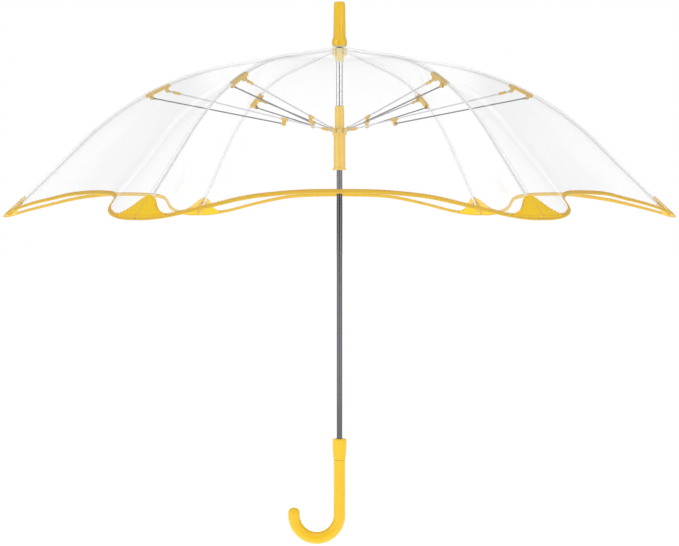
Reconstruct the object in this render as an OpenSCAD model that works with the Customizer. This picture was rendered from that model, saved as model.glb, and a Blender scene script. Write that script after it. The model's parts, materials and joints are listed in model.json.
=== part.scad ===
// Children's stick umbrella with six ribs, shown open. Units are millimetres, +Z is up along the shaft.
// The origin is on the shaft's axis, level with the top of the handle.

/* [Canopy] */
// Distance from the shaft's axis to a rib's tip
tip_r = 403; // [300:1:520]
// Slope of the canopy beside the crown, in degrees
slope_in = 8.7; // [4:0.1:15]
// Slope of the canopy near the hem, in degrees
slope_out = 44.5; // [30:0.1:60]
// Radius at which the ribs start to curve down
bend_start = 120; // [60:1:160]
// Radius of curvature of the ribs' bend
bend_r = 345.7; // [250:0.1:450]
// Height of the canopy beside the shaft
crown_z = 468.8; // [380:0.1:560]
// Thickness of the clear sheet solid
film_t = 0.6; // [0.4:0.1:1]
// How far the hem is cut up from the tips at mid panel, measured along the radius
scallop = 33; // [15:1:60]
// Share of a half panel over which the hem turns up from its square corner
hem_turn = 0.41; // [0.2:0.01:0.6]
// How sharply the hem turns up
hem_power = 1.9; // [1.2:0.1:3]
// Inward sag of a panel's middle at the hem
sag = 9; // [0:0.5:15]
// Radius below which the stiff corners no longer flare the panels out
flare_from = 240; // [150:5:380]
// Share of a half panel over which a corner's flare fades
flare_fade = 0.36; // [0.1:0.01:0.6]
// Width of the binding along the hem
hem_w = 5; // [3:0.5:8]
// Thickness of the binding along the hem
hem_t = 1.4; // [1:0.1:2]

/* [Ribs] */
// Number of ribs; a full set of nodes is drawn for six
ribs = 6; // [6:1:6]
// Radius of a rib's rod
rod_r = 1.3; // [1:0.05:2]
// Depth of the rod's axis under the canopy
rod_drop = 3.5; // [3:0.1:5]
// Radius of the ring wires through the crown and the runner
ring_r = 6.9; // [6:0.1:8]
// Radius of a ring wire's section
wire_r = 0.6; // [0.4:0.05:0.8]
// Radius at which the clamp starts
clamp_in = 205; // [180:0.5:230]
// Radius at which the clamp ends
clamp_out = 233.4; // [210:0.1:260]
// Half the height of the clamp's bar
bar_h = 2.3; // [2:0.1:4]
// Radius of the stretcher's pivot on the clamp, before its drop
pivot_u_r = 210; // [190:0.5:230]
// Drop of the stretcher's pivot under the rod's axis
pivot_u_drop = 5.2; // [4:0.1:8]
// Radius of the brace's pivot on the clamp, before its drop
pivot_l_r = 229; // [210:0.5:240]
// Drop of the brace's pivot under the rod's axis
pivot_l_drop = 4.4; // [4:0.1:8]
// Radius at which the rod flexes, just past the clamp
flex_at = 237; // [220:0.5:260]

/* [Stretchers] */
// Radius of a stretcher's wire
stretcher_r = 0.9; // [0.7:0.05:1.3]
// Radius of a brace's wire
brace_r = 0.8; // [0.6:0.05:1.2]
// Sideways offset of a brace from its stretcher
brace_y = 2.9; // [2.5:0.1:4]
// Distance of the middle joint from the runner's pivot
joint_d = 60.5; // [40:0.5:90]
// Drop of the brace's end under the stretcher at the middle joint
joint_drop = 5.4; // [4:0.1:9]

/* [Shaft] */
// Outer radius of the steel shaft
shaft_r = 3.5; // [3:0.1:5]
// Wall of the steel shaft
shaft_wall = 0.6; // [0.4:0.1:1]
// Radius of the polished sleeve above the runner
sleeve_r = 4.1; // [3.8:0.1:5]
// Height of the cap's top
cap_top = 524; // [480:1:560]
// Clearance of the runner's bore round the shaft
run_gap = 0.08; // [0.02:0.01:0.1]

/* [Handle] */
// Radius of the hook's grip
grip_r = 7.2; // [6:0.1:9]
// Radius of the hook's bend to the grip's axis
hook_r = 27.3; // [20:0.1:40]
// Depth of the hook's bend centre under the handle's top
hook_z = 92; // [70:1:130]
// Largest radius of the handle's collar
collar_r = 8.7; // [8:0.1:11]
// Height of the handle's collar
collar_h = 25; // [15:1:35]

/* [Hidden] */
$fn = 64;
tiny = 0.01;
half_step = 180 / ribs;
// The canopy's outline in a rib's plane: straight, then an arc, then straight
arc_r = bend_start - bend_r * sin(slope_in);
arc_z = crown_z - (bend_start - 8) * tan(slope_in) - bend_r * cos(slope_in);
bend_end = arc_r + bend_r * sin(slope_out);
function slope(r) = r < bend_start ? slope_in : r > bend_end ? slope_out : asin((r - arc_r) / bend_r);
function line_z(r) = crown_z - (r - 8) * tan(slope_in);
function bow_z(r) = arc_z + sqrt(bend_r * bend_r - (r - arc_r) * (r - arc_r));
function rim_z(r) = bow_z(bend_end) - (r - bend_end) * tan(slope_out);
function outline_z(r) = r < bend_start ? line_z(r) : r > bend_end ? rim_z(r) : bow_z(r);
// A point at a depth under the outline, as [radius, height]
function under(r, d) = [r - d * sin(slope(r)), outline_z(r) - d * cos(slope(r))];
rod_arc = bend_r - rod_drop;
crown_pivot = [ring_r, line_z(ring_r) - rod_drop / cos(slope_in)];
pivot_u = under(pivot_u_r, rod_drop + pivot_u_drop);
pivot_l = under(pivot_l_r, rod_drop + pivot_l_drop);
// Crown and runner pivots are mirrored about the stretcher's clamp pivot, so the fold is exact
runner_pivot = [ring_r, 2 * pivot_u[1] - crown_pivot[1]];
flex_slope = slope(flex_at);
stretch_v = pivot_u - runner_pivot;
stretch_a = atan2(stretch_v[1], stretch_v[0]);
joint_at = runner_pivot + joint_d * [cos(stretch_a), sin(stretch_a)];
brace_end = joint_at + joint_drop * [sin(stretch_a), -cos(stretch_a)];
brace_v = pivot_l - brace_end;
brace_a = atan2(brace_v[1], brace_v[0]);
eye_t = 1.4;
eye_r = 1.8;
eye_play = 0.3;
clamp_w = 5.2;
clamp_top = bar_h - 0.5;
ear_r = 2.2;
ferrule_r = 1.75;
pocket_r = 3.0;
press = 0.02;
shaft_low = -60;
shaft_len = 560;
ring_bore = wire_r + 0.1;
pin_r = 0.9;
pin_bore = pin_r + 0.07;
slot_w = 2;
crown_r = 8.7;
crown_neck_r = 5.4;
crown_top = crown_pivot[1] + 2.4;
crown_low = crown_pivot[1] - 5.6;
crown_neck = crown_pivot[1] - 13.4;
runner_r = 8.6;
runner_tube_r = 5.7;
runner_low_r = 7.1;
runner_top = runner_pivot[1] + 30;
runner_low = runner_pivot[1] - 46.6;
catch_z = runner_low - 32;
catch_tip = runner_low - 0.8;

// Places children at rib k
module at_rib(k) {
  rotate([0, 0, 360 / ribs * (k - 1)])
    children();
}

// Places children at a point of the rib's plane, with X along a direction and Y up from it
module at_point(p, a = 0) {
  translate([p[0], 0, p[1]])
    rotate([90, 0, 0])
      rotate([0, 0, a])
        children();
}

// A round rod from p to q in the rib's plane
module rod(p, q, r) {
  v = q - p;
  at_point(p, atan2(v[1], v[0]))
    rotate([0, 90, 0])
      cylinder(r = r, h = norm(v));
}

// A disc across the rib's plane
module disc(p, r, t) {
  at_point(p)
    translate([0, 0, -t / 2])
      cylinder(r = r, h = t);
}

// Sweeps a section along the ribs' arc between two slopes
module along_arc(a, b, centre_r) {
  at_point([arc_r, arc_z], 90 - b)
    rotate_extrude(angle = b - a, $fn = 180)
      translate([centre_r, 0])
        children();
}

// A ring of wire round the shaft
module ring_wire(z) {
  translate([0, 0, z])
    rotate_extrude()
      translate([ring_r, 0])
        circle(r = wire_r, $fn = 24);
}

// A slot in each rib's direction, from inner radius out, between two heights
module slots(inner, low, high) {
  for (k = [1 : ribs])
    at_rib(k)
      translate([inner, -slot_w / 2, low])
        cube([20, slot_w, high - low]);
}

// A wire with a flat eye at p, the neck of the eye facing q
module eye(p, q, bore, neck) {
  v = q - p;
  a = atan2(v[1], v[0]);
  difference() {
    union() {
      disc(p, eye_r, eye_t);
      at_point(p, a)
        translate([0, -eye_r * 0.6, -eye_t / 2])
          cube([neck, eye_r * 1.2, eye_t]);
    }
    disc(p, bore, eye_t + 1);
  }
}

module shaft_tube() color([0.3, 0.3, 0.32]) {
  difference() {
    translate([0, 0, shaft_low])
      cylinder(r = shaft_r, h = shaft_len);
    translate([0, 0, shaft_low - 1])
      cylinder(r = shaft_r - shaft_wall, h = shaft_len + 2);
    translate([-1.2, 0, catch_z + 8])
      cube([2.4, shaft_r + 1, catch_tip - catch_z - 6]);
    translate([-shaft_r - 1, 0, catch_z])
      rotate([0, 90, 0])
        cylinder(r = 0.87, h = 2 * shaft_r + 2, $fn = 32);
  }
}

module upper_sleeve() color([0.8, 0.8, 0.82]) {
  difference() {
    translate([0, 0, runner_top + 0.5])
      cylinder(r = sleeve_r, h = crown_neck - runner_top - 0.6);
    translate([0, 0, runner_top])
      cylinder(r = shaft_r + press, h = crown_neck - runner_top + 1);
  }
}

module hook_handle() color([1, 0.83, 0]) {
  difference() {
    union() {
      translate([0, 0, -hook_z])
        cylinder(r = grip_r, h = hook_z - collar_h - 0.4);
      translate([-hook_r, 0, -hook_z])
        rotate([90, 0, 0])
          rotate([0, 0, 180])
            rotate_extrude(angle = 180, $fn = 96)
              translate([hook_r, 0])
                circle(r = grip_r);
      translate([-2 * hook_r, 0, -hook_z])
        cylinder(r = grip_r, h = 2);
      translate([-2 * hook_r, 0, -hook_z + 2])
        sphere(r = grip_r);
    }
    translate([0, 0, shaft_low - 1])
      cylinder(r = shaft_r + press, h = 1 - shaft_low);
  }
}

module handle_collar() color([1, 0.8, 0]) {
  difference() {
    rotate_extrude()
      polygon([[0, -collar_h], [grip_r + 0.2, -collar_h], [grip_r + 0.6, -collar_h + 3],
        [collar_r - 0.3, -collar_h * 0.6], [collar_r, -collar_h * 0.35], [collar_r - 0.2, -1.6],
        [collar_r - 1, -0.4], [collar_r - 2, 0], [0, 0]]);
    translate([0, 0, -collar_h - 1])
      cylinder(r = shaft_r + press, h = collar_h + 2);
  }
}

module tip_cap() color([1, 0.82, 0]) {
  low = crown_z + 2.4;
  difference() {
    rotate_extrude()
      polygon([[0, low], [8.6, low], [9, low + 0.8], [9, low + 6.5], [8.2, low + 8.5], [7.4, low + 11],
        [6.9, cap_top - 6], [6.5, cap_top - 1.5], [5.6, cap_top - 0.4], [4.6, cap_top], [0, cap_top]]);
    for (i = [0 : 11])
      rotate([0, 0, 30 * i])
        translate([7.75, 0, low + 12])
          cylinder(r = 1, h = 60, $fn = 24);
    translate([0, 0, low - 1])
      cylinder(r = shaft_r + press, h = shaft_low + shaft_len + 1 - low);
  }
}

module canopy_washer() color([0.95, 0.93, 0.8]) {
  translate([0, 0, crown_z + 0.9])
    difference() {
      cylinder(r = 8, h = 1.4);
      translate([0, 0, -1])
        cylinder(r = shaft_r + press, h = 4);
    }
}

module crown_notch() color([0.93, 0.88, 0.6]) {
  difference() {
    union() {
      translate([0, 0, crown_low])
        cylinder(r = crown_r, h = crown_top - crown_low);
      translate([0, 0, crown_neck])
        cylinder(r = crown_neck_r, h = crown_low - crown_neck + tiny);
    }
    translate([0, 0, crown_neck - 1])
      cylinder(r = shaft_r + press, h = 40);
    slots(4.9, crown_neck - 1, crown_pivot[1] + 2.1);
    translate([0, 0, crown_pivot[1]])
      rotate_extrude()
        translate([ring_r, 0])
          circle(r = wire_r + 0.01, $fn = 24);
  }
}

module crown_wire() color([0.6, 0.6, 0.62]) ring_wire(crown_pivot[1]);

module runner() color([1, 0.8, 0.02]) {
  difference() {
    union() {
      translate([0, 0, runner_low])
        cylinder(r = runner_r - 0.2, h = 1.8);
      translate([0, 0, runner_low + 1.8 - tiny])
        cylinder(r = runner_low_r, h = 40.2);
      translate([0, 0, runner_pivot[1] - 4.8])
        cylinder(r = runner_r, h = 7.4);
      translate([0, 0, runner_pivot[1]])
        cylinder(r = runner_tube_r, h = runner_top - runner_pivot[1] - 0.6);
      translate([0, 0, runner_top - 0.6 - tiny])
        cylinder(r1 = runner_tube_r, r2 = runner_tube_r - 0.6, h = 0.6);
    }
    translate([0, 0, runner_low - 1])
      cylinder(r = shaft_r + run_gap, h = 90);
    slots(4.9, runner_pivot[1] - 2.2, runner_pivot[1] + 3);
    translate([0, 0, runner_pivot[1]])
      rotate_extrude()
        translate([ring_r, 0])
          circle(r = wire_r + 0.01, $fn = 24);
  }
}

module runner_wire() color([0.6, 0.6, 0.62]) ring_wire(runner_pivot[1]);

module hold_open_catch() color([0.75, 0.75, 0.77]) {
  translate([-3.35, 0, catch_z])
    rotate([0, 90, 0])
      cylinder(r = 0.8, h = 6.7, $fn = 32);
  translate([-0.8, 0.2, catch_z])
    cube([1.6, 0.9, catch_tip - catch_z]);
  translate([0.8, 0, 0])
    rotate([0, -90, 0])
      linear_extrude(1.6)
        polygon([[catch_tip - 20, 0.6], [catch_tip - 3, 5], [catch_tip, 5], [catch_tip, 0.6]]);
}

module rib_rod(k) color([0.95, 0.95, 0.93]) at_rib(k) {
  begin = [crown_pivot[0] + 7 * cos(slope_in), crown_pivot[1] - 7 * sin(slope_in)];
  eye(crown_pivot, under(bend_start, rod_drop), ring_bore, 7.2);
  rod(begin, under(bend_start + 0.4, rod_drop), rod_r - 0.05);
  along_arc(slope_in, flex_slope - 0.3, rod_arc)
    circle(r = rod_r, $fn = 32);
}

// The bar is square outside and bored for the rod, with two forked ears for the wires
module rib_clamp(k) color([0.92, 0.76, 0.16]) at_rib(k) {
  difference() {
    union() {
      along_arc(slope(clamp_in), slope(clamp_out), rod_arc)
        translate([-bar_h, -clamp_w / 2])
          square([bar_h + clamp_top, clamp_w]);
      ear(pivot_u, pivot_u_drop, -2.3, 4.6, slope(pivot_u_r));
      ear(pivot_l, pivot_l_drop, 1.25, 3.35, slope(pivot_l_r));
    }
    along_arc(slope(clamp_in) - 1, slope(clamp_out) + 1, rod_arc)
      circle(r = rod_r + 0.005, $fn = 32);
    ear_gap(pivot_u, 0, eye_t + eye_play);
    ear_gap(pivot_l, -brace_y, eye_t + eye_play);
    ear_gap(pivot_l, 0, 2.5);
  }
  disc(pivot_u, pin_r, 4.6);
  at_point(pivot_l)
    translate([0, 0, 1.25])
      cylinder(r = pin_r, h = 3.35);
}

// A lug from the bar down to a pivot, between two depths across the rib's plane
module ear(p, drop, low, width, a) {
  at_point(p, -a)
    translate([0, 0, low])
      linear_extrude(width) {
        circle(r = ear_r);
        translate([-ear_r, 0])
          square([2 * ear_r, drop - bar_h + 0.5]);
      }
}

// Room for an eye, across the rib's plane
module ear_gap(p, y, w) {
  at_point(p, -slope(pivot_u_r))
    translate([0, 0, -y - w / 2])
      linear_extrude(w)
        translate([-8, -8])
          square([16, 10.2]);
}

module stretcher_wire(k) color([0.55, 0.55, 0.58]) at_rib(k) {
  eye(runner_pivot, pivot_u, ring_bore, 6);
  eye(pivot_u, runner_pivot, pin_bore, 5);
  d = [cos(stretch_a), sin(stretch_a)];
  rod(runner_pivot + 5.8 * d, pivot_u - 4.8 * d, stretcher_r);
}

// A ferrule at each end and the leg of the middle joint, which the brace slides past
module stretcher_joint(k) color([0.95, 0.78, 0.1]) at_rib(k) {
  d = [cos(stretch_a), sin(stretch_a)];
  difference() {
    union() {
      rod(runner_pivot + 6.5 * d, runner_pivot + 15 * d, ferrule_r);
      rod(pivot_u - 16 * d, pivot_u - 6.5 * d, ferrule_r);
      rod(joint_at - 4.5 * d, joint_at + 4.5 * d, ferrule_r);
      at_point(joint_at, stretch_a)
        translate([-2.6, -joint_drop - 2.4, -0.2])
          cube([5.2, joint_drop + 2.4, 1.8]);
    }
    rod(runner_pivot, pivot_u, stretcher_r + 0.005);
  }
}

module brace_wire(k) color([0.3, 0.3, 0.32]) at_rib(k) {
  d = [cos(brace_a), sin(brace_a)];
  translate([0, -brace_y, 0]) {
    eye(pivot_l, brace_end, pin_bore, 5);
    rod(brace_end, pivot_l - 4.8 * d, brace_r);
    at_point(brace_end)
      sphere(r = brace_r, $fn = 24);
  }
}

module tip_rod(k) color([0.95, 0.95, 0.93]) at_rib(k) {
  along_arc(flex_slope, slope_out, rod_arc)
    circle(r = rod_r, $fn = 32);
  rod(under(bend_end - 0.4, rod_drop), under(tip_r - 1, rod_drop), rod_r - 0.05);
  rod(under(tip_r - 3, rod_drop), under(tip_r - 1, rod_drop), rod_r + 0.2);
}

// The hem's radius at a share v of the way from rib to mid panel: square at the corner, then cut up
function turned(v) = 1 - exp(-pow(v / hem_turn, hem_power));
function hem_r(v) = tip_r - scallop * turned(v) / turned(1);
// Stations down a panel, closer together over the bend
inner_edge = 6.2;
hem_columns = 24;
function station(i, n, v, back) = inner_edge + (hem_r(v) - back - inner_edge) * pow(i / n, 0.9);
// Points across a gore from mid panel to mid panel, closer together near the rib
function across(j, m) = let (t = 2 * j / m - 1) sign(t) * pow(abs(t), 1.4);
// How far the stiff corners push the sheet out, so that it crosses the rib square and not at an angle
function flare(r, v) = r / 2 * v * tan(half_step) * exp(-pow(v / flare_fade, 2.5))
  * max(0, r - flare_from) / (tip_r - flare_from);
// A point of a panel: u is -1 to 1 across it, d its height over the middle surface
function skin(r, u, d) =
  let (v = abs(u) * (1 - 0.4 / max(r, 8)))
  let (side = sign(u) == 0 ? 1 : sign(u))
  let (turn = half_step * v * side)
  let (pull = sag * r / tip_r * (1 - (1 - v) * (1 - v)))
  let (e = (d - pull) * sin(slope(r)))
  let (h = flare(r, v))
  [r * (1 - v * (1 - cos(2 * half_step)) / 2) + e * cos(turn) + h * cos(half_step),
   side * (r * v * sin(2 * half_step) / 2 + h * sin(half_step)) + e * sin(turn),
   outline_z(r) + (d - pull) * cos(slope(r))];

// A closed solid from a top and a bottom grid of points
module grid_solid(top, bottom, n, m) {
  w = m + 1;
  all = (n + 1) * w;
  polyhedron(points = concat(top, bottom), faces = concat(
    [for (i = [0 : n - 1]) for (j = [0 : m - 1]) [i * w + j, i * w + j + 1, (i + 1) * w + j]],
    [for (i = [0 : n - 1]) for (j = [0 : m - 1]) [i * w + j + 1, (i + 1) * w + j + 1, (i + 1) * w + j]],
    [for (i = [0 : n - 1]) for (j = [0 : m - 1])
      [all + i * w + j, all + (i + 1) * w + j, all + i * w + j + 1]],
    [for (i = [0 : n - 1]) for (j = [0 : m - 1])
      [all + i * w + j + 1, all + (i + 1) * w + j, all + (i + 1) * w + j + 1]],
    [for (j = [0 : m - 1]) [j, all + j, j + 1]],
    [for (j = [0 : m - 1]) [j + 1, all + j, all + j + 1]],
    [for (j = [0 : m - 1]) [n * w + j, n * w + j + 1, all + n * w + j]],
    [for (j = [0 : m - 1]) [n * w + j + 1, all + n * w + j + 1, all + n * w + j]],
    [for (i = [0 : n - 1]) [i * w, (i + 1) * w, all + i * w]],
    [for (i = [0 : n - 1]) [(i + 1) * w, all + (i + 1) * w, all + i * w]],
    [for (i = [0 : n - 1]) [i * w + m, all + i * w + m, (i + 1) * w + m]],
    [for (i = [0 : n - 1]) [(i + 1) * w + m, all + i * w + m, all + (i + 1) * w + m]]
  ));
}

// One gore of the clear sheet, from mid panel to mid panel over its rib
module canopy_gore(k) color([0.9, 0.95, 1, 0.4]) at_rib(k) {
  n = 14;
  m = hem_columns;
  hem_gap = 0.4;
  grid_solid(
    [for (i = [0 : n]) for (j = [0 : m])
      let (u = across(j, m)) skin(station(i, n, abs(u), hem_w + hem_gap), u, film_t / 2)],
    [for (i = [0 : n]) for (j = [0 : m])
      let (u = across(j, m)) skin(station(i, n, abs(u), hem_w + hem_gap), u, -film_t / 2)],
    n, m);
}

// The bound hem of one gore, and the pocket that takes the rod's tip
module hem_binding(k) color([1, 0.75, 0.1]) at_rib(k) {
  m = hem_columns;
  grid_solid(
    [for (i = [0, 1]) for (j = [0 : m])
      let (u = across(j, m)) skin(hem_r(abs(u)) - hem_w * (1 - i), u, hem_t / 2)],
    [for (i = [0, 1]) for (j = [0 : m])
      let (u = across(j, m)) skin(hem_r(abs(u)) - hem_w * (1 - i), u, -hem_t / 2)],
    1, m);
  patch_n = 6;
  patch_w = 0.13;
  patch_l = 28;
  patch_top = 0.3;
  over = 1.2;
  under_side = 0.5;
  grid_solid(
    [for (i = [0 : patch_n]) for (j = [0 : patch_n])
      let (s = i / patch_n, u = (2 * j / patch_n - 1) * patch_w * (patch_top + (1 - patch_top) * s))
        skin(tip_r - patch_l + s * (hem_r(abs(u)) - 1 - tip_r + patch_l), u, over)],
    [for (i = [0 : patch_n]) for (j = [0 : patch_n])
      let (s = i / patch_n, u = (2 * j / patch_n - 1) * patch_w * (patch_top + (1 - patch_top) * s))
        skin(tip_r - patch_l + s * (hem_r(abs(u)) - 1 - tip_r + patch_l), u, under_side)],
    patch_n, patch_n);
  difference() {
    rod(under(tip_r - 16, rod_drop), under(tip_r + 1, rod_drop), pocket_r);
    rod(under(tip_r - 17, rod_drop), under(tip_r - 0.7, rod_drop), rod_r + 0.25);
  }
}

// Every sub-part by name; node picks one of them, or all

shaft_tube();
upper_sleeve();
hook_handle();
handle_collar();
tip_cap();
canopy_washer();
crown_notch();
crown_wire();
runner();
runner_wire();
hold_open_catch();
rib_rod(1);  // rib_rod_1
rib_rod(2);  // rib_rod_2
rib_rod(3);  // rib_rod_3
rib_rod(4);  // rib_rod_4
rib_rod(5);  // rib_rod_5
rib_rod(6);  // rib_rod_6
rib_clamp(1);  // rib_clamp_1
rib_clamp(2);  // rib_clamp_2
rib_clamp(3);  // rib_clamp_3
rib_clamp(4);  // rib_clamp_4
rib_clamp(5);  // rib_clamp_5
rib_clamp(6);  // rib_clamp_6
stretcher_wire(1);  // stretcher_wire_1
stretcher_wire(2);  // stretcher_wire_2
stretcher_wire(3);  // stretcher_wire_3
stretcher_wire(4);  // stretcher_wire_4
stretcher_wire(5);  // stretcher_wire_5
stretcher_wire(6);  // stretcher_wire_6
stretcher_joint(1);  // stretcher_joint_1
stretcher_joint(2);  // stretcher_joint_2
stretcher_joint(3);  // stretcher_joint_3
stretcher_joint(4);  // stretcher_joint_4
stretcher_joint(5);  // stretcher_joint_5
stretcher_joint(6);  // stretcher_joint_6
brace_wire(1);  // brace_wire_1
brace_wire(2);  // brace_wire_2
brace_wire(3);  // brace_wire_3
brace_wire(4);  // brace_wire_4
brace_wire(5);  // brace_wire_5
brace_wire(6);  // brace_wire_6
tip_rod(1);  // tip_rod_1
tip_rod(2);  // tip_rod_2
tip_rod(3);  // tip_rod_3
tip_rod(4);  // tip_rod_4
tip_rod(5);  // tip_rod_5
tip_rod(6);  // tip_rod_6
canopy_gore(1);  // canopy_gore_1
canopy_gore(2);  // canopy_gore_2
canopy_gore(3);  // canopy_gore_3
canopy_gore(4);  // canopy_gore_4
canopy_gore(5);  // canopy_gore_5
canopy_gore(6);  // canopy_gore_6
hem_binding(1);  // hem_binding_1
hem_binding(2);  // hem_binding_2
hem_binding(3);  // hem_binding_3
hem_binding(4);  // hem_binding_4
hem_binding(5);  // hem_binding_5
hem_binding(6);  // hem_binding_6
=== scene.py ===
# %% [markdown]
# # A child's clear umbrella, open
# The umbrella hangs a clear plastic dome on six springy ribs. The CAD model gives every hard part and every pivot;
# this lesson adds what makes it look real: the thin film, its yellow binding and corner patches, and the finishes.
# All sizes are in metres and come from the frame, so each new piece lands where the moving parts expect it.

# %% Load the frame
import json
import math

import bmesh
import bpy
import numpy as np
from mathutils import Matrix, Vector


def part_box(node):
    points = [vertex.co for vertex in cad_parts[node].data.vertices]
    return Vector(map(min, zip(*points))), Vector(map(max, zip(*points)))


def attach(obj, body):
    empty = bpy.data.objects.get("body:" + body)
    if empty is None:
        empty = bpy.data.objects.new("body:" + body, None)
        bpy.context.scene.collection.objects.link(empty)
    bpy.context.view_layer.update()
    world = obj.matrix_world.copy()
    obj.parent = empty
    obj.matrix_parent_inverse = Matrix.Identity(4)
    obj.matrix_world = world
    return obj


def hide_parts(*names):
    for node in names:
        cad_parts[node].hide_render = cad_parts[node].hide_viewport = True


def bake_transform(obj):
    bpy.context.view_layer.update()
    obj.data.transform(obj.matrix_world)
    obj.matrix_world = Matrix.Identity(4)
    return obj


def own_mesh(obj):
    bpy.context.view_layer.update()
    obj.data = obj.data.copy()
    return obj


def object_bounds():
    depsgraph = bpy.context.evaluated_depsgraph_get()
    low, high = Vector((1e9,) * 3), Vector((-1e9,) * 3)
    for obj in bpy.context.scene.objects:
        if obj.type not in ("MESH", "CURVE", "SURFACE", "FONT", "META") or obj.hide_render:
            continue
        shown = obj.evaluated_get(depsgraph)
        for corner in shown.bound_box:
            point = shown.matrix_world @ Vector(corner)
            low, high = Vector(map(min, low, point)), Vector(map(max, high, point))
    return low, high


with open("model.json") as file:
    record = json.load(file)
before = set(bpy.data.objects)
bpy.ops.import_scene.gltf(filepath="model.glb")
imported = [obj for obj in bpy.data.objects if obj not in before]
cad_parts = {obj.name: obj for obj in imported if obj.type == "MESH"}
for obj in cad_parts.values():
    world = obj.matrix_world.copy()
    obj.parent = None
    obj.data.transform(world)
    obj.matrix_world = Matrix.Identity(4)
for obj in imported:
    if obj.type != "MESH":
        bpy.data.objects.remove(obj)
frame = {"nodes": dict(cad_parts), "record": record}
cad_box = [list(corner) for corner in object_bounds()]
MM = 0.001
print("CAD box", cad_box)

# %% [markdown]
# ## The umbrella's own measures
# Six copies of one rib stand round the shaft, so everything is worked out once, in the plane of the first rib: a radius
# from the shaft and a height. The pivots are in the record. The canopy's outline is a straight run off the crown, an
# arc over the clamps and a straight run down to the tips, which is the curve a fibreglass rod takes when it is bent.

# %% Pivots and outline
JOINTS = {j["name"]: j for j in frame["record"]["behaviour"]["joints"]}
RIBS = [int(n.split("_")[-1]) for n in frame["nodes"] if n.startswith("rib_rod_")]
RIB_COUNT = len(RIBS)
STEP = 2 * math.pi / RIB_COUNT


def in_plane(joint):
    """A first rib's pivot as (radius, height)."""
    x, y, z = JOINTS[joint]["pos_m"]
    return np.array([math.hypot(x, y), z])


CROWN_PIVOT = in_plane("canopy_fold")
FLEX_PIVOT = in_plane("rib_flex_1")
HEM_STANDS_OUT = 1.2 * MM
TIP_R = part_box("hem_binding_1")[1].x - HEM_STANDS_OUT
ROD_DROP = 3.5 * MM
SLOPE_IN, SLOPE_OUT = math.radians(8.7), math.radians(44.5)
BEND_START, BEND_R = 120 * MM, 345.7 * MM
CROWN_R = 8 * MM
CROWN_Z = CROWN_PIVOT[1] + ROD_DROP / math.cos(SLOPE_IN) - (CROWN_R - CROWN_PIVOT[0]) * math.tan(SLOPE_IN)
ARC_R = BEND_START - BEND_R * math.sin(SLOPE_IN)
ARC_Z = CROWN_Z - (BEND_START - CROWN_R) * math.tan(SLOPE_IN) - BEND_R * math.cos(SLOPE_IN)
BEND_END = ARC_R + BEND_R * math.sin(SLOPE_OUT)


def slope(r):
    """Slope of the canopy over a rib at radius r, in radians."""
    middle = np.arcsin(np.clip((np.asarray(r, float) - ARC_R) / BEND_R, -1, 1))
    return np.where(r < BEND_START, SLOPE_IN, np.where(r > BEND_END, SLOPE_OUT, middle))


def outline(r):
    """Height of the canopy over a rib at radius r."""
    r = np.asarray(r, float)
    line = CROWN_Z - (r - CROWN_R) * math.tan(SLOPE_IN)
    bow = ARC_Z + np.sqrt(np.maximum(BEND_R**2 - (r - ARC_R) ** 2, 0))
    end = ARC_Z + math.sqrt(BEND_R**2 - (BEND_END - ARC_R) ** 2)
    return np.where(r < BEND_START, line, np.where(r > BEND_END, end - (r - BEND_END) * math.tan(SLOPE_OUT), bow))


print("tip radius", round(float(TIP_R), 4), "crown height", round(float(CROWN_Z), 4))

# %% [markdown]
# ## The film between two ribs
# A panel is cut flat and pulled tight between two ribs, so across the panel it runs nearly straight from rib to rib and
# sags in a little at the hem. The doubled corners are too stiff to crease over the rib, so they cross it square and
# flare the panel out beside them. One function gives the place of any point of a panel: r is the rib's radius at that
# height, u runs from -1 to 1 from one mid panel to the next over the rib, and d is the height over the sheet. A few
# shallow pull lines run out of the corners, as in real film.

# %% A point of the canopy
SCALLOP, HEM_TURN, HEM_POWER = 33 * MM, 0.41, 1.9
SAG = 9 * MM
FLARE_FROM, FLARE_FADE, FLARE_POWER = 240 * MM, 0.36, 2.5
PULL_LINE = 0.5 * MM


def turned(v):
    return 1 - np.exp(-((np.maximum(v, 0) / HEM_TURN) ** HEM_POWER))


def hem_radius(v):
    """The hem's radius at a share v of the way from rib to mid panel."""
    return TIP_R - SCALLOP * turned(v) / turned(1.0)


def flare(r, v):
    """How far the stiff corners push the panel out."""
    grown = np.maximum(0, r - FLARE_FROM) / (TIP_R - FLARE_FROM)
    return r / 2 * v * math.tan(STEP / 2) * np.exp(-((v / FLARE_FADE) ** FLARE_POWER)) * grown


def pull_lines(r, v, panel):
    """Shallow waves that run from the corners into a panel, none at the rib."""
    near_hem = np.clip((r / TIP_R - 0.45) / 0.5, 0, 1) ** 1.5
    wave = np.sin(9 * v + 31 * r / TIP_R + 1.7 * panel) + 0.6 * np.sin(17 * v - 23 * r / TIP_R + 2.9 * panel)
    return PULL_LINE * near_hem * np.sin(math.pi * np.clip(v, 0, 1)) ** 2 * wave


def canopy_point(rib, r, u, d=0.0):
    """Points of the canopy round one rib, in the row frame."""
    r, u = np.broadcast_arrays(np.asarray(r, float), np.asarray(u, float))
    v, side = np.abs(u), np.where(u < 0, -1.0, 1.0)
    turn = STEP / 2 * v * side
    panel = np.where(side > 0, rib, (rib - 2) % RIB_COUNT + 1)
    e = d - SAG * r / TIP_R * (1 - (1 - v) ** 2) + pull_lines(r, v, panel)
    h = flare(r, v)
    out = e * np.sin(slope(r))
    x = r * (1 - v * (1 - math.cos(STEP)) / 2) + out * np.cos(turn) + h * math.cos(STEP / 2)
    y = side * (r * v * math.sin(STEP) / 2 + h * math.sin(STEP / 2)) + out * np.sin(turn)
    z = outline(r) + e * np.cos(slope(r))
    a = STEP * (rib - 1)
    return np.stack([x * math.cos(a) - y * math.sin(a), x * math.sin(a) + y * math.cos(a), z], axis=-1)


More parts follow.
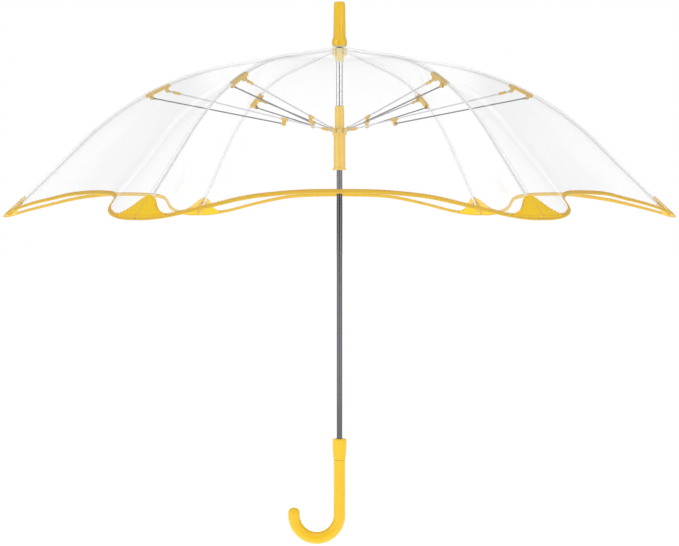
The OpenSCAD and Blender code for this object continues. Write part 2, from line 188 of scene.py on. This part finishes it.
def plane_point(rib, r, z, y=0.0):
    """Points of one rib's own plane, or y beside it, in the row frame."""
    a = STEP * (rib - 1)
    return np.stack([r * math.cos(a) - y * math.sin(a), r * math.sin(a) + y * math.cos(a), z + 0 * r], axis=-1)


# %% [markdown]
# ## Finishes
# A material is a small sum over noise, waves and ramps. Writing it with plus and times keeps it readable, so one class
# wraps a socket and turns Python's operators into Math nodes, and one builder makes every other node from its type,
# its settings and its inputs.

# %% Shader sums
class Wire:
    """One output socket of a shader tree."""

    def __init__(self, tree, socket):
        self.tree, self.socket = tree, socket

    def math(self, operation, first, second=None):
        node = self.tree.nodes.new("ShaderNodeMath")
        node.operation = operation
        for socket, value in zip(node.inputs, (first, second)):
            if isinstance(value, Wire):
                self.tree.links.new(value.socket, socket)
            elif value is not None:
                socket.default_value = value
        return Wire(self.tree, node.outputs[0])

    def __add__(self, other):
        return self.math("ADD", self, other)

    def __radd__(self, other):
        return self.math("ADD", other, self)

    def __sub__(self, other):
        return self.math("SUBTRACT", self, other)

    def __rsub__(self, other):
        return self.math("SUBTRACT", other, self)

    def __mul__(self, other):
        return self.math("MULTIPLY", self, other)

    def __rmul__(self, other):
        return self.math("MULTIPLY", other, self)

    def __pow__(self, other):
        return self.math("POWER", self, other)


class Finish:
    """A material with a Principled shader, whose fixed values are given by socket name."""

    def __init__(self, name, **fixed):
        self.material = bpy.data.materials.new(name)
        self.material.use_nodes = True
        self.tree = self.material.node_tree
        self.shader = self.tree.nodes["Principled BSDF"]
        for socket, value in fixed.items():
            self.shader.inputs[socket.replace("_", " ")].default_value = value

    def node(self, kind, settings=None, output=0, **inputs):
        """A node from its type, its settings and its inputs' values or wires."""
        made = self.tree.nodes.new(kind)
        for key, value in (settings or {}).items():
            setattr(made, key, value)
        for key, value in inputs.items():
            socket = made.inputs[int(key[1:])] if key[0] == "_" else made.inputs[key.replace("_", " ")]
            if isinstance(value, Wire):
                self.tree.links.new(value.socket, socket)
            else:
                socket.default_value = value
        return Wire(self.tree, made.outputs[output])

    def place(self, scale=(1, 1, 1)):
        """Object coordinates, stretched by a scale."""
        here = self.node("ShaderNodeTexCoord", output=3)
        return self.node("ShaderNodeMapping", Vector=here, Scale=scale)

    def noise(self, scale, detail=3.0, stretch=(1, 1, 1)):
        return self.node("ShaderNodeTexNoise", Vector=self.place(stretch), Scale=scale, Detail=detail)

    def blend(self, share, first, second):
        """A colour between two colours."""
        return self.node("ShaderNodeMix", {"data_type": "RGBA"}, output=2, _0=share, _6=first, _7=second)

    def feed(self, **wires):
        for socket, wire in wires.items():
            self.tree.links.new(wire.socket, self.shader.inputs[socket.replace("_", " ")])
        return self

    def bump(self, height, distance, strength=1.0):
        return self.feed(Normal=self.node("ShaderNodeBump", Height=height, Distance=distance, Strength=strength))


def grey(value):
    return (value, value, value, 1.0)


# %% [markdown]
# ### Moulded plastic
# The handle, cap, runner and clamps are glossy injection mouldings. Real ones are not one flat colour: the pigment
# streaks very slightly, hands dull the gloss in patches, and the skin has a faint ripple from the mould.

# %% Moulded plastic
def moulded(name, base, deep, roughness=0.22, coat=0.35, glow=0.12):
    f = Finish(name, Coat_Weight=coat, Coat_Roughness=0.08, IOR=1.5, Subsurface_Weight=glow,
               Subsurface_Scale=0.003, Subsurface_Radius=(1.0, 0.6, 0.1))
    streaks = f.noise(60.0, 4.0, (1, 1, 0.35))
    wear = f.noise(190.0, 5.0)
    f.feed(Base_Color=f.blend(streaks ** 1.6, deep, base), Roughness=wear * 0.14 + (roughness - 0.05))
    return f.bump(f.noise(420.0, 2.0) * 0.6 + wear * 0.4, 0.00006, 0.5)


HANDLE_YELLOW = moulded("handle_plastic", (1.0, 0.66, 0.0, 1), (0.98, 0.58, 0.0, 1))
CAP_YELLOW = moulded("cap_plastic", (0.95, 0.62, 0.005, 1), (0.86, 0.52, 0.003, 1), 0.2, 0.6)
RUNNER_YELLOW = moulded("runner_plastic", (0.90, 0.60, 0.02, 1), (0.84, 0.52, 0.015, 1), 0.25, 0.5)
CLAMP_YELLOW = moulded("clamp_plastic", (0.80, 0.52, 0.02, 1), (0.66, 0.40, 0.015, 1), 0.32, 0.2)
CREAM = moulded("crown_plastic", (0.92, 0.84, 0.50, 1), (0.88, 0.78, 0.42, 1), 0.3, 0.2, 0.3)
ROD_WHITE = moulded("fibreglass", (0.86, 0.86, 0.86, 1), (0.78, 0.78, 0.79, 1), 0.3, 0.25, 0.1)


# %% [markdown]
# ### Steel
# The shaft is a drawn and dark coated tube, the sleeve over it is polished bright, and the wires are plain drawn
# steel. Drawing leaves fine lines along the length, made here from noise stretched along the shaft.

# %% Steel
def drawn_steel(name, base, deep, roughness, metal=1.0, lines=0.10):
    f = Finish(name, Metallic=metal, Coat_Weight=0.0)
    along = f.noise(900.0, 3.0, (1, 1, 0.02))
    patches = f.noise(40.0, 2.0)
    f.feed(Base_Color=f.blend(patches * 0.6 + along * 0.3, deep, base),
           Roughness=along * lines + patches * 0.05 + roughness)
    return f.bump(along, 0.00002, 0.4)


SHAFT_STEEL = drawn_steel("shaft_steel", (0.17, 0.17, 0.18, 1), (0.12, 0.12, 0.13, 1), 0.09, lines=0.03)
SLEEVE_STEEL = drawn_steel("polished_steel", (0.92, 0.92, 0.93, 1), (0.85, 0.85, 0.87, 1), 0.05, lines=0.03)
WIRE_STEEL = drawn_steel("wire_steel", (0.76, 0.76, 0.78, 1), (0.62, 0.62, 0.65, 1), 0.28)
BRACE_STEEL = drawn_steel("brace_steel", (0.22, 0.22, 0.24, 1), (0.14, 0.14, 0.16, 1), 0.34)
SPRING_STEEL = drawn_steel("spring_steel", (0.5, 0.5, 0.52, 1), (0.4, 0.4, 0.42, 1), 0.3)


# %% [markdown]
# ### Binding tape and thread
# The binding is a narrow woven tape. Two sets of fine ridges cross at 0.6 mm, and dye takes a little unevenly. The
# thread of the stitching is the same yellow, a little paler, with a twist.

# %% Tape and thread
def woven(name, base, deep, pitch=0.0006, height=0.00012):
    f = Finish(name, Sheen_Weight=0.25, Sheen_Roughness=0.4)
    here = f.place()
    ridges = [
        f.node("ShaderNodeTexWave", {"bands_direction": way}, output=1, Vector=here, Scale=0.05 / pitch, Distortion=0.6)
        for way in ("X", "Z", "Y")
    ]
    weave = ridges[0] * ridges[1] * 0.7 + ridges[2] * 0.3
    dye = f.noise(120.0, 4.0)
    f.feed(Base_Color=f.blend(dye * 0.5 + weave * 0.5, deep, base), Roughness=dye * 0.2 + 0.5)
    return f.bump(weave, height, 0.6)


TAPE_YELLOW = woven("binding_tape", (0.90, 0.60, 0.05, 1), (0.72, 0.42, 0.02, 1))
PATCH_YELLOW = woven("corner_patch", (1.0, 0.68, 0.0, 1), (0.96, 0.58, 0.0, 1), 0.0008, 0.00008)
THREAD = woven("thread", (1.0, 0.62, 0.06, 1), (0.85, 0.45, 0.02, 1), 0.0003)


# %% [markdown]
# ### Clear film
# The film is soft clear plastic about 0.15 mm thick. It hides almost nothing, but it is not invisible: it lays a
# thin pale veil over what is behind it, and shines where it turns away from the eye. So the shader is mostly see
# through, with a small share of white gloss that grows towards grazing angles.

# %% Clear film
def clear_film(name, veil, edge):
    f = Finish(name, Base_Color=(0.97, 0.975, 0.98, 1), IOR=1.45, Roughness=0.08, Coat_Weight=0.3,
               Coat_Roughness=0.03, Emission_Strength=0.0)
    rim = f.node("ShaderNodeLayerWeight", output=1, Blend=0.35)
    haze = f.noise(14.0, 3.0)
    f.feed(Alpha=haze * 0.05 + rim ** 2.0 * edge + veil)
    return f.bump(f.noise(9.0, 2.0), 0.004, 0.25)


FILM = clear_film("clear_film", 0.09, 0.35)
SEAM = clear_film("welded_seam", 0.12, 0.2)


# %% [markdown]
# ## Mesh helpers
# Nearly every new piece is either a sheet laid out as a grid of points or a tube swept along a line of rings. Both
# take arrays of points, so their shape stays in the sums that made them.

# %% Sheets and tubes
def make_object(name, verts, faces, *finishes):
    mesh = bpy.data.meshes.new(name)
    mesh.from_pydata([tuple(map(float, p)) for p in verts], [], faces)
    for finish in finishes:
        mesh.materials.append(finish.material)
    mesh.polygons.foreach_set("use_smooth", [True] * len(mesh.polygons))
    mesh.update()
    made = bpy.data.objects.new(name, mesh)
    bpy.context.scene.collection.objects.link(made)
    return made


def grid_faces(rows, columns, start=0, wrap=False):
    across = columns if wrap else columns - 1
    return [
        (start + i * columns + j, start + i * columns + (j + 1) % columns,
         start + (i + 1) * columns + (j + 1) % columns, start + (i + 1) * columns + j)
        for i in range(rows - 1)
        for j in range(across)
    ]


def tube_parts(rings, start=0):
    """Vertices and faces of a closed tube through rings of points, capped at both ends."""
    rings = np.asarray(rings, float)
    n, m = rings.shape[:2]
    faces = grid_faces(n, m, start, wrap=True)
    faces.append(tuple(start + j for j in reversed(range(m))))
    faces.append(tuple(start + (n - 1) * m + j for j in range(m)))
    return list(rings.reshape(-1, 3)), faces


def rings_along(points, radii, sides=12, up=(0.0, 0.0, 1.0)):
    """Round rings square to a line of points."""
    points = np.asarray(points, float)
    along = np.gradient(points, axis=0)
    along /= np.linalg.norm(along, axis=1)[:, None]
    side = np.cross(along, np.asarray(up, float))
    side /= np.linalg.norm(side, axis=1)[:, None]
    other = np.cross(along, side)
    t = np.linspace(0, 2 * math.pi, sides, endpoint=False)
    radii = np.broadcast_to(np.asarray(radii, float), len(points))
    return points[:, None] + radii[:, None, None] * (
        np.cos(t)[None, :, None] * side[:, None] + np.sin(t)[None, :, None] * other[:, None])


def joined(parts):
    """Several tubes' vertices and faces as one mesh."""
    verts, faces = [], []
    for rings in parts:
        v, f = tube_parts(rings, len(verts))
        verts += v
        faces += f
    return verts, faces


# %% [markdown]
# ## How the canopy is split
# Each panel hangs between two ribs that move apart from it as the umbrella closes, so the film is made as half panels,
# each riding on its own rib; the real film gathers in against the ribs as it closes.


def fold(piece, rib, r0, r1):
    """Works out points on a piece's rib between radii r0 and r1, and gives the piece its own copy of its mesh."""
    start, end = (canopy_point(rib, r, 0.0) for r in (r0, r1))
    on_rib = canopy_point(rib, np.linspace(r0, r1, 9), np.zeros(9))
    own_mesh(piece)


# %% [markdown]
# ## The film
# The half panels are cut where the rib flexes, just past the clamp, because the film turns with the rod there. Every
# edge meets its neighbour's edge point for point, so at rest the canopy is one unbroken skin.

# %% Film half panels
FLEX_R = FLEX_PIVOT[0] + ROD_DROP * math.sin(float(slope(FLEX_PIVOT[0])))
FILM_IN = 6.4 * MM
HEM_COVER = 2 * MM
NORMAL_STEP, NORMAL_TURN = 0.2 * MM, 0.002
ROWS_IN, ROWS_OUT, COLUMNS = 30, 34, 22


def film_grid(rib, side, inner):
    v = np.linspace(0, 1, COLUMNS)
    rows = ROWS_IN if inner else ROWS_OUT
    share = np.linspace(0, 1, rows)[:, None]
    low = FILM_IN if inner else FLEX_R
    high = np.full(COLUMNS, FLEX_R) if inner else hem_radius(v) - HEM_COVER
    r = low + (high - low) * share
    return r, side * v, canopy_point(rib, r, side * v)


def shade_as_one(piece, rib, r, u):
    """Gives a sheet the whole canopy's normals, so that no join shows in its gloss."""
    u = np.clip(np.broadcast_to(u, r.shape), NORMAL_TURN - 1, 1 - NORMAL_TURN)
    down = canopy_point(rib, r + NORMAL_STEP, u) - canopy_point(rib, r - NORMAL_STEP, u)
    over = canopy_point(rib, r, u + NORMAL_TURN) - canopy_point(rib, r, u - NORMAL_TURN)
    normal = np.cross(down, over).reshape(-1, 3)
    normal /= np.linalg.norm(normal, axis=1)[:, None]
    piece.data.normals_split_custom_set_from_vertices([tuple(n) for n in normal])


film = {}
for rib in RIBS:
    for side, hand in ((-1, "a"), (1, "b")):
        for inner, part in ((True, "inner"), (False, "outer")):
            r, u, points = film_grid(rib, side, inner)
            rows, columns = points.shape[:2]
            faces = grid_faces(rows, columns)
            if side > 0:
                faces = [f[::-1] for f in faces]
            piece = make_object(f"film_{part}_{rib}{hand}", points.reshape(-1, 3), faces, FILM)
            width = float(np.linalg.norm(points[-1, -1] - points[-1, 0]))
            length = float(np.linalg.norm(np.diff(points[:, 0], axis=0), axis=1).sum())
            area = sum(p.area for p in piece.data.polygons)
            shade_as_one(piece, rib, r, u)
            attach(piece, f"rib_{rib}" if inner else f"rib_tip_{rib}")
            fold(piece, rib, FILM_IN if inner else FLEX_R, FLEX_R if inner else TIP_R)
            film[rib, side, inner] = piece, width, length, area
print("film pieces", len(film), "area of one panel", round(2 * (film[1, 1, True][3] + film[1, 1, False][3]), 4))

# %% [markdown]
# ## Ribs
# A rib is one white fibreglass rod from the crown to the tip pocket, and it is one piece here too. The real rod bends
# softly past the clamp as the umbrella closes and springs straight.

# %% Ribs
ROD_R = 1.3 * MM
ROD_END = 6 * MM
EYE_R, EYE_T = 1.8 * MM, 1.4 * MM


def rod_line(r, drop=ROD_DROP):
    """Radius and height of the rod's axis under the canopy."""
    return r - drop * np.sin(slope(r)), outline(r) - drop * np.cos(slope(r))


for rib in RIBS:
    r = np.concatenate([np.linspace(15 * MM, BEND_START, 12), np.linspace(BEND_START, BEND_END, 60)[1:],
                        np.linspace(BEND_END, TIP_R - ROD_END, 10)[1:]])
    x, z = rod_line(r)
    neck_x = np.array([CROWN_PIVOT[0] + 1.2 * MM, CROWN_PIVOT[0] + 4 * MM, CROWN_PIVOT[0] + 6 * MM])
    neck_z = CROWN_PIVOT[1] - (neck_x - CROWN_PIVOT[0]) * math.tan(SLOPE_IN)
    x, z = np.concatenate([neck_x, x]), np.concatenate([neck_z, z])
    a = STEP * (rib - 1)
    sideways = (-math.sin(a), math.cos(a), 0.0)
    rings = rings_along(plane_point(rib, x, z), ROD_R, 12, up=sideways)
    across = np.array(sideways)
    centre = rings.mean(axis=1, keepdims=True)
    for i, (flat, tall) in enumerate(((0.52, 1.15), (0.52, 1.1), (0.8, 1.05))):
        off = rings[i] - centre[i]
        part = (off @ across)[:, None] * across
        rings[i] = centre[i] + part * flat + (off - part) * tall
    t = np.linspace(0, 2 * math.pi, 25)[:-1]
    eye = []
    for y, k in ((-0.5, 0.9), (-0.42, 1.0), (0.42, 1.0), (0.5, 0.9)):
        eye.append(plane_point(rib, CROWN_PIVOT[0] + EYE_R * k * np.cos(t), CROWN_PIVOT[1] + EYE_R * k * np.sin(t),
                               EYE_T * y))
    verts, faces = joined([rings, np.array(eye)])
    piece = make_object(f"rib_{rib}", verts, faces, ROD_WHITE)
    flex_a, flex_b = (plane_point(rib, *rod_line(np.array(FLEX_R + d))) for d in (-1 * MM, 22 * MM))
    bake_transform(piece)
    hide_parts(f"rib_rod_{rib}", f"tip_rod_{rib}")
print("ribs", RIB_COUNT)

# %% [markdown]
# ## Welded seams
# The panels are welded to each other along the ribs. The weld is a doubled strip of film 4 mm wide, and it shows as a
# faint line over each rib.

# %% Welded seams
SEAM_W = 4 * MM
for rib in RIBS:
    r = np.concatenate([np.linspace(9 * MM, FLEX_R, 36), np.linspace(FLEX_R, TIP_R - 8 * MM, 36)[1:]])
    half = np.minimum(SEAM_W / 2 / (r * math.sin(STEP) / 2), 0.8)
    rings = []
    for k, lift in ((-1, 0.35), (0, 0.45), (1, 0.35), (1, 0.1), (0, 0.1), (-1, 0.1)):
        rings.append(canopy_point(rib, r, half * k, lift * MM))
    verts, faces = tube_parts(np.stack(rings, axis=1))
    piece = make_object(f"seam_{rib}", verts, faces, SEAM)
    flex_a, flex_b = (canopy_point(rib, FLEX_R + d, 0.0) for d in (-1 * MM, 22 * MM))
    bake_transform(piece)

# %% [markdown]
# ## Hem binding
# A woven tape is folded over the film's edge and sewn through. Its section is a flat loop, fatter at the fold, and a
# line of small stitches runs near its inner edge.

# %% Hem binding
TAPE_T = 1.5 * MM
TAPE_STATIONS = 60
STITCH, STITCH_GAP, THREAD_R = 2.6 * MM, 1.2 * MM, 0.32 * MM


def edge_frame(rib, u, back=0.0, d=0.0):
    """Points near the hem, with the directions across the tape and out of the film."""
    r = hem_radius(np.abs(u)) - back
    p = canopy_point(rib, r, u, d)
    inward = canopy_point(rib, r - 1 * MM, u, d) - p
    out = canopy_point(rib, r, u, d + 1 * MM) - p
    unit = lambda a: a / np.linalg.norm(a, axis=-1, keepdims=True)
    return p, unit(inward), unit(out)


def stitches(points, out, length=STITCH, gap=STITCH_GAP, radius=THREAD_R):
    """Short thread loops along a line, each a little arch."""
    step = np.concatenate([[0], np.cumsum(np.linalg.norm(np.diff(points, axis=0), axis=1))])
    at = np.arange(gap, step[-1] - length, length + gap)
    made = []
    for s in at:
        t = s + np.linspace(0, 1, 5) * length
        line = np.stack([np.interp(t, step, points[:, i]) for i in range(3)], axis=1)
        lift = np.stack([np.interp(t, step, out[:, i]) for i in range(3)], axis=1)
        arch = np.sin(np.linspace(0, math.pi, 5))[:, None]
        line = line + lift * radius * (arch * 1.1 - 0.3)
        made.append(rings_along(line, radius * np.array([0.5, 1, 1, 1, 0.5]), 6, up=tuple(lift[2])))
    return made


def with_thread(name, tubes, threads, cloth):
    """One piece with the cloth's tubes first and its stitches in thread."""
    verts, faces = joined(tubes)
    first = len(faces)
    more_v, more_f = joined(threads)
    faces += [tuple(i + len(verts) for i in f) for f in more_f]
    piece = make_object(name, verts + more_v, faces, cloth, THREAD)
    for polygon in piece.data.polygons[first:]:
        polygon.material_index = 1
    return piece


binding = {}
for rib in RIBS:
    for side, hand in ((-1, "a"), (1, "b")):
        u = side * (1 - (1 - np.linspace(0, 1, TAPE_STATIONS)) ** 1.25)
        p, inward, out = edge_frame(rib, u)
        rings = []
        for s, h in ((0.0, 0.0), (0.35, 0.46), (1.2, 0.52), (3.4, 0.46), (4.9, 0.34), (5.1, 0.0),
                     (4.9, -0.34), (3.4, -0.46), (1.2, -0.52), (0.35, -0.46)):
            rings.append(p + inward * s * MM + out * h * TAPE_T)
        rings = np.stack(rings, axis=1)
        if side < 0:
            rings = rings[:, ::-1]
        line, _, lift = edge_frame(rib, u, 3.7 * MM, 0.46 * TAPE_T)
        piece = with_thread(f"binding_{rib}{hand}", [rings], stitches(line, lift), TAPE_YELLOW)
        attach(piece, f"rib_tip_{rib}")
        fold(piece, rib, FLEX_R, TIP_R)
        binding[rib, side] = piece
for rib, side in binding:
    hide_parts(f"hem_binding_{rib}")
print("binding pieces", len(binding), "stitches on one",
      sum(p.material_index == 1 for p in binding[1, 1].data.polygons) // 26)

# %% [markdown]
# ## Corner patches and tip pockets
# Each corner of the film is doubled with a shield of yellow cloth, rounded at the top and sewn round its edge, and
# under it a small pocket takes the end of the rod. That is where a canopy is pulled hardest.

# %% Corner patches
PATCH_L, PATCH_T = 25 * MM, 0.75 * MM
PATCH_ROWS, PATCH_COLUMNS = 18, 10


def patch_width(s):
    """Half width of the patch at a share s from its top to the hem."""
    return (6 + 17 * s + 9 * s**4) * MM * (1 - 0.9 * np.exp(-s / 0.05))


for rib in RIBS:
    for side, hand in ((-1, "a"), (1, "b")):
        s = np.linspace(0, 1, PATCH_ROWS)
        w = np.linspace(0, 1, PATCH_COLUMNS)
        v = patch_width(s)[:, None] * w[None, :] / (TIP_R / 2)
        top = TIP_R - PATCH_L
        r = top + (hem_radius(v) - 1.2 * MM - top) * s[:, None]
        puff = PATCH_T * (1 - 0.5 * (w[None, :] ** 6))
        upper = canopy_point(rib, r, side * v, 0.15 * MM + puff)
        lower = canopy_point(rib, r, side * v, -0.1 * MM - puff)
        n, m = r.shape
        verts = list(upper.reshape(-1, 3)) + list(lower.reshape(-1, 3))
        faces = grid_faces(n, m) + [tuple(reversed(f)) for f in grid_faces(n, m, n * m)]
        rim = ([i * m for i in range(n)] + [(n - 1) * m + j for j in range(1, m)]
               + [i * m + m - 1 for i in range(n - 2, -1, -1)] + [j for j in range(m - 2, 0, -1)])
        faces += [(i, i + n * m, j + n * m, j) for i, j in zip(rim, rim[1:] + rim[:1])]
        if side > 0:
            faces = [f[::-1] for f in faces]
        cloth = make_object(f"patch_{rib}{hand}", verts, faces, PATCH_YELLOW, THREAD)
        edge_v = np.concatenate([v[:, -1] * 0.9, v[-1, ::-1][1:] * 0.9])
        edge_s = np.concatenate([np.linspace(0.08, 0.9, n), np.full(m - 1, 0.9)])
        edge_r = top + (hem_radius(edge_v) - 1.2 * MM - top) * edge_s
        line = canopy_point(rib, edge_r, side * edge_v, 0.15 * MM + PATCH_T)
        lift = canopy_point(rib, edge_r, side * edge_v, 0.15 * MM + PATCH_T + 1 * MM) - line
        lift /= np.linalg.norm(lift, axis=1)[:, None]
        threads = make_object("thread_part", *joined(stitches(line, lift)), THREAD)
        mesh = bmesh.new()
        mesh.from_mesh(cloth.data)
        first = len(mesh.faces)
        mesh.from_mesh(threads.data)
        mesh.faces.ensure_lookup_table()
        for face in mesh.faces[first:]:
            face.material_index = 1
        mesh.to_mesh(cloth.data)
        mesh.free()
        bpy.data.objects.remove(threads)
        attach(cloth, f"rib_tip_{rib}")
        fold(cloth, rib, FLEX_R, TIP_R)

# %% Tip pockets
POCKET_L = 19 * MM
pocket = {}
for rib in RIBS:
    back = np.array([POCKET_L, 16 * MM, 12 * MM, 8 * MM, 5.5 * MM, 4.4 * MM, 3.8 * MM])
    wide = np.array([4.4, 4.2, 3.8, 3.4, 3.0, 2.3, 0.9]) * MM
    tall = np.array([1.7, 2.0, 2.2, 2.2, 2.0, 1.5, 0.5]) * MM
    x, z = rod_line(TIP_R - back, ROD_DROP - 0.9 * MM)
    t = np.linspace(0, 2 * math.pi, 17)[:-1]
    rings = []
    for i in range(len(back)):
        up = np.array([math.sin(SLOPE_OUT), math.cos(SLOPE_OUT)])
        ct, st = np.sign(np.cos(t)) * np.abs(np.cos(t)) ** 0.8, np.sign(np.sin(t)) * np.abs(np.sin(t)) ** 0.8
        rings.append(plane_point(rib, x[i] + up[0] * tall[i] * st, z[i] + up[1] * tall[i] * st, wide[i] * ct))
    piece = make_object(f"tip_pocket_{rib}", *tube_parts(rings), TAPE_YELLOW)
    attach(piece, f"rib_tip_{rib}")
    pocket[rib] = piece

# %% [markdown]
# ## The film's cut size
# For every sheet the share of its area in its width times its length is worked out, and the CAD canopy gores are
# hidden.
# The film is pulled tight over the ribs, so its area is its cut area.

for (rib, side, inner), (piece, width, length, area) in film.items():
    share = min(1.0, area / (width * length))
    width * length * share
    if inner:
        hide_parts(f"canopy_gore_{rib}")

# %% [markdown]
# ## Finishes on the CAD parts
# The hard parts keep their CAD shape, which carries the true bores and pivots, and only get a finish.

# %% Dress the CAD nodes
DRESS = {
    "shaft_tube": SHAFT_STEEL, "upper_sleeve": SLEEVE_STEEL, "hook_handle": HANDLE_YELLOW,
    "handle_collar": HANDLE_YELLOW, "tip_cap": CAP_YELLOW, "canopy_washer": CREAM, "crown_notch": CREAM,
    "crown_wire": WIRE_STEEL, "runner": RUNNER_YELLOW, "runner_wire": WIRE_STEEL, "hold_open_catch": SPRING_STEEL,
    "rib_clamp": CLAMP_YELLOW, "stretcher_joint": CLAMP_YELLOW, "stretcher_wire": WIRE_STEEL, "brace_wire": BRACE_STEEL,
}
dressed = 0
for name, node in frame["nodes"].items():
    kind = name if name in DRESS else name.rsplit("_", 1)[0]
    if kind in DRESS:
        node.data.materials.clear()
        node.data.materials.append(DRESS[kind].material)
        dressed += 1
print("dressed", dressed, "CAD nodes")

# %% [markdown]
# ## Studio
# The umbrella hangs over a pale floor in an even white room, so that the film shows only by its shine. A large soft
# light on each side draws the long highlights down the handle and shaft.

# %% Floor
FLOOR_GAP, FLOOR_REACH = 0.6, 30.0
floor_z = cad_box[0][2] - FLOOR_GAP
floor_finish = Finish("floor_white", Base_Color=(0.62, 0.62, 0.62, 1), Roughness=0.9,
                      Emission_Color=(1, 1, 1, 1), Emission_Strength=0.75)
corners = [(x * FLOOR_REACH, y * FLOOR_REACH, floor_z) for x, y in ((-1, -1), (1, -1), (1, 1), (-1, 1))]
floor = make_object("floor", corners, [(0, 1, 2, 3)], floor_finish)

# %% [markdown]
# The room is white ahead of the eye, so that the background is clean. It is dark in a ring beside that, which draws the
# dark rims on the shaft and handle, bright at the sides and front, where the light comes from, and dark again round
# the camera, which puts the dark line down the middle of polished steel.

# %% Room
world = bpy.data.worlds.new("studio")
bpy.context.scene.world = world
world.use_nodes = True
sky = world.node_tree
background = sky.nodes["Background"]
coords = sky.nodes.new("ShaderNodeTexCoord")
split = sky.nodes.new("ShaderNodeSeparateXYZ")
angle = sky.nodes.new("ShaderNodeMath")
angle.operation = "ARCCOSINE"
share = sky.nodes.new("ShaderNodeMath")
share.operation = "DIVIDE"
share.inputs[1].default_value = math.pi
ramp = sky.nodes.new("ShaderNodeValToRGB")
sky.links.new(coords.outputs["Generated"], split.inputs[0])
sky.links.new(split.outputs["Y"], angle.inputs[0])
sky.links.new(angle.outputs[0], share.inputs[0])
sky.links.new(share.outputs[0], ramp.inputs[0])
ROOM = ((20, 1.0), (27, 0.18), (66, 0.24), (84, 0.74), (152, 0.74), (162, 0.08))
for i, (degrees, value) in enumerate(ROOM):
    stop = ramp.color_ramp.elements[i] if i < 2 else ramp.color_ramp.elements.new(degrees / 180)
    stop.position, stop.color = degrees / 180, grey(value)
sky.links.new(ramp.outputs[0], background.inputs["Color"])
background.inputs["Strength"].default_value = 1.0


# %% Lights
def strip_light(name, bearing, height, distance, size, radiance):
    """A soft box at a bearing from the camera's side, facing the umbrella."""
    data = bpy.data.lights.new(name, "AREA")
    data.shape, data.size, data.size_y = "RECTANGLE", size[0], size[1]
    data.energy = radiance * math.pi * size[0] * size[1]
    lamp = bpy.data.objects.new(name, data)
    bpy.context.scene.collection.objects.link(lamp)
    a = math.radians(bearing)
    lamp.location = (distance * math.sin(a), -distance * math.cos(a), height)
    aim = Vector((0, 0, 0.2)) - lamp.location
    lamp.rotation_euler = aim.to_track_quat("-Z", "Y").to_euler()
    return lamp


strip_light("left_strip", -54, 0.5, 2.2, (0.22, 1.5), 5)
strip_light("right_strip", 40, 0.5, 2.2, (0.18, 1.5), 4.5)
strip_light("top_soft", 0, 2.4, 0.6, (1.6, 1.6), 0.8)

# %% [markdown]
# ## Camera
# The eye is level, just under the hem's height and about 1.9 m away, so that the far hem shows just under the near
# one. The picture is framed by shifting the lens down, which keeps the shaft's sides parallel.

# %% Camera
WIDTH_PX = 679
EYE_HEIGHT, EYE_DISTANCE = 0.2814, 1.9344
LENS_PX, DROP_PX = 1612.0, 69.0
camera = bpy.data.objects.new("camera", bpy.data.cameras.new("camera"))
bpy.context.scene.collection.objects.link(camera)
camera.data.sensor_width = 36.0
camera.data.lens = LENS_PX / WIDTH_PX * camera.data.sensor_width
camera.data.shift_y = -DROP_PX / WIDTH_PX
camera.location = (0.0, -EYE_DISTANCE, EYE_HEIGHT)
camera.rotation_euler = (math.pi / 2, 0.0, 0.0)
bpy.context.scene.camera = camera
bpy.context.scene.view_settings.view_transform = "Standard"
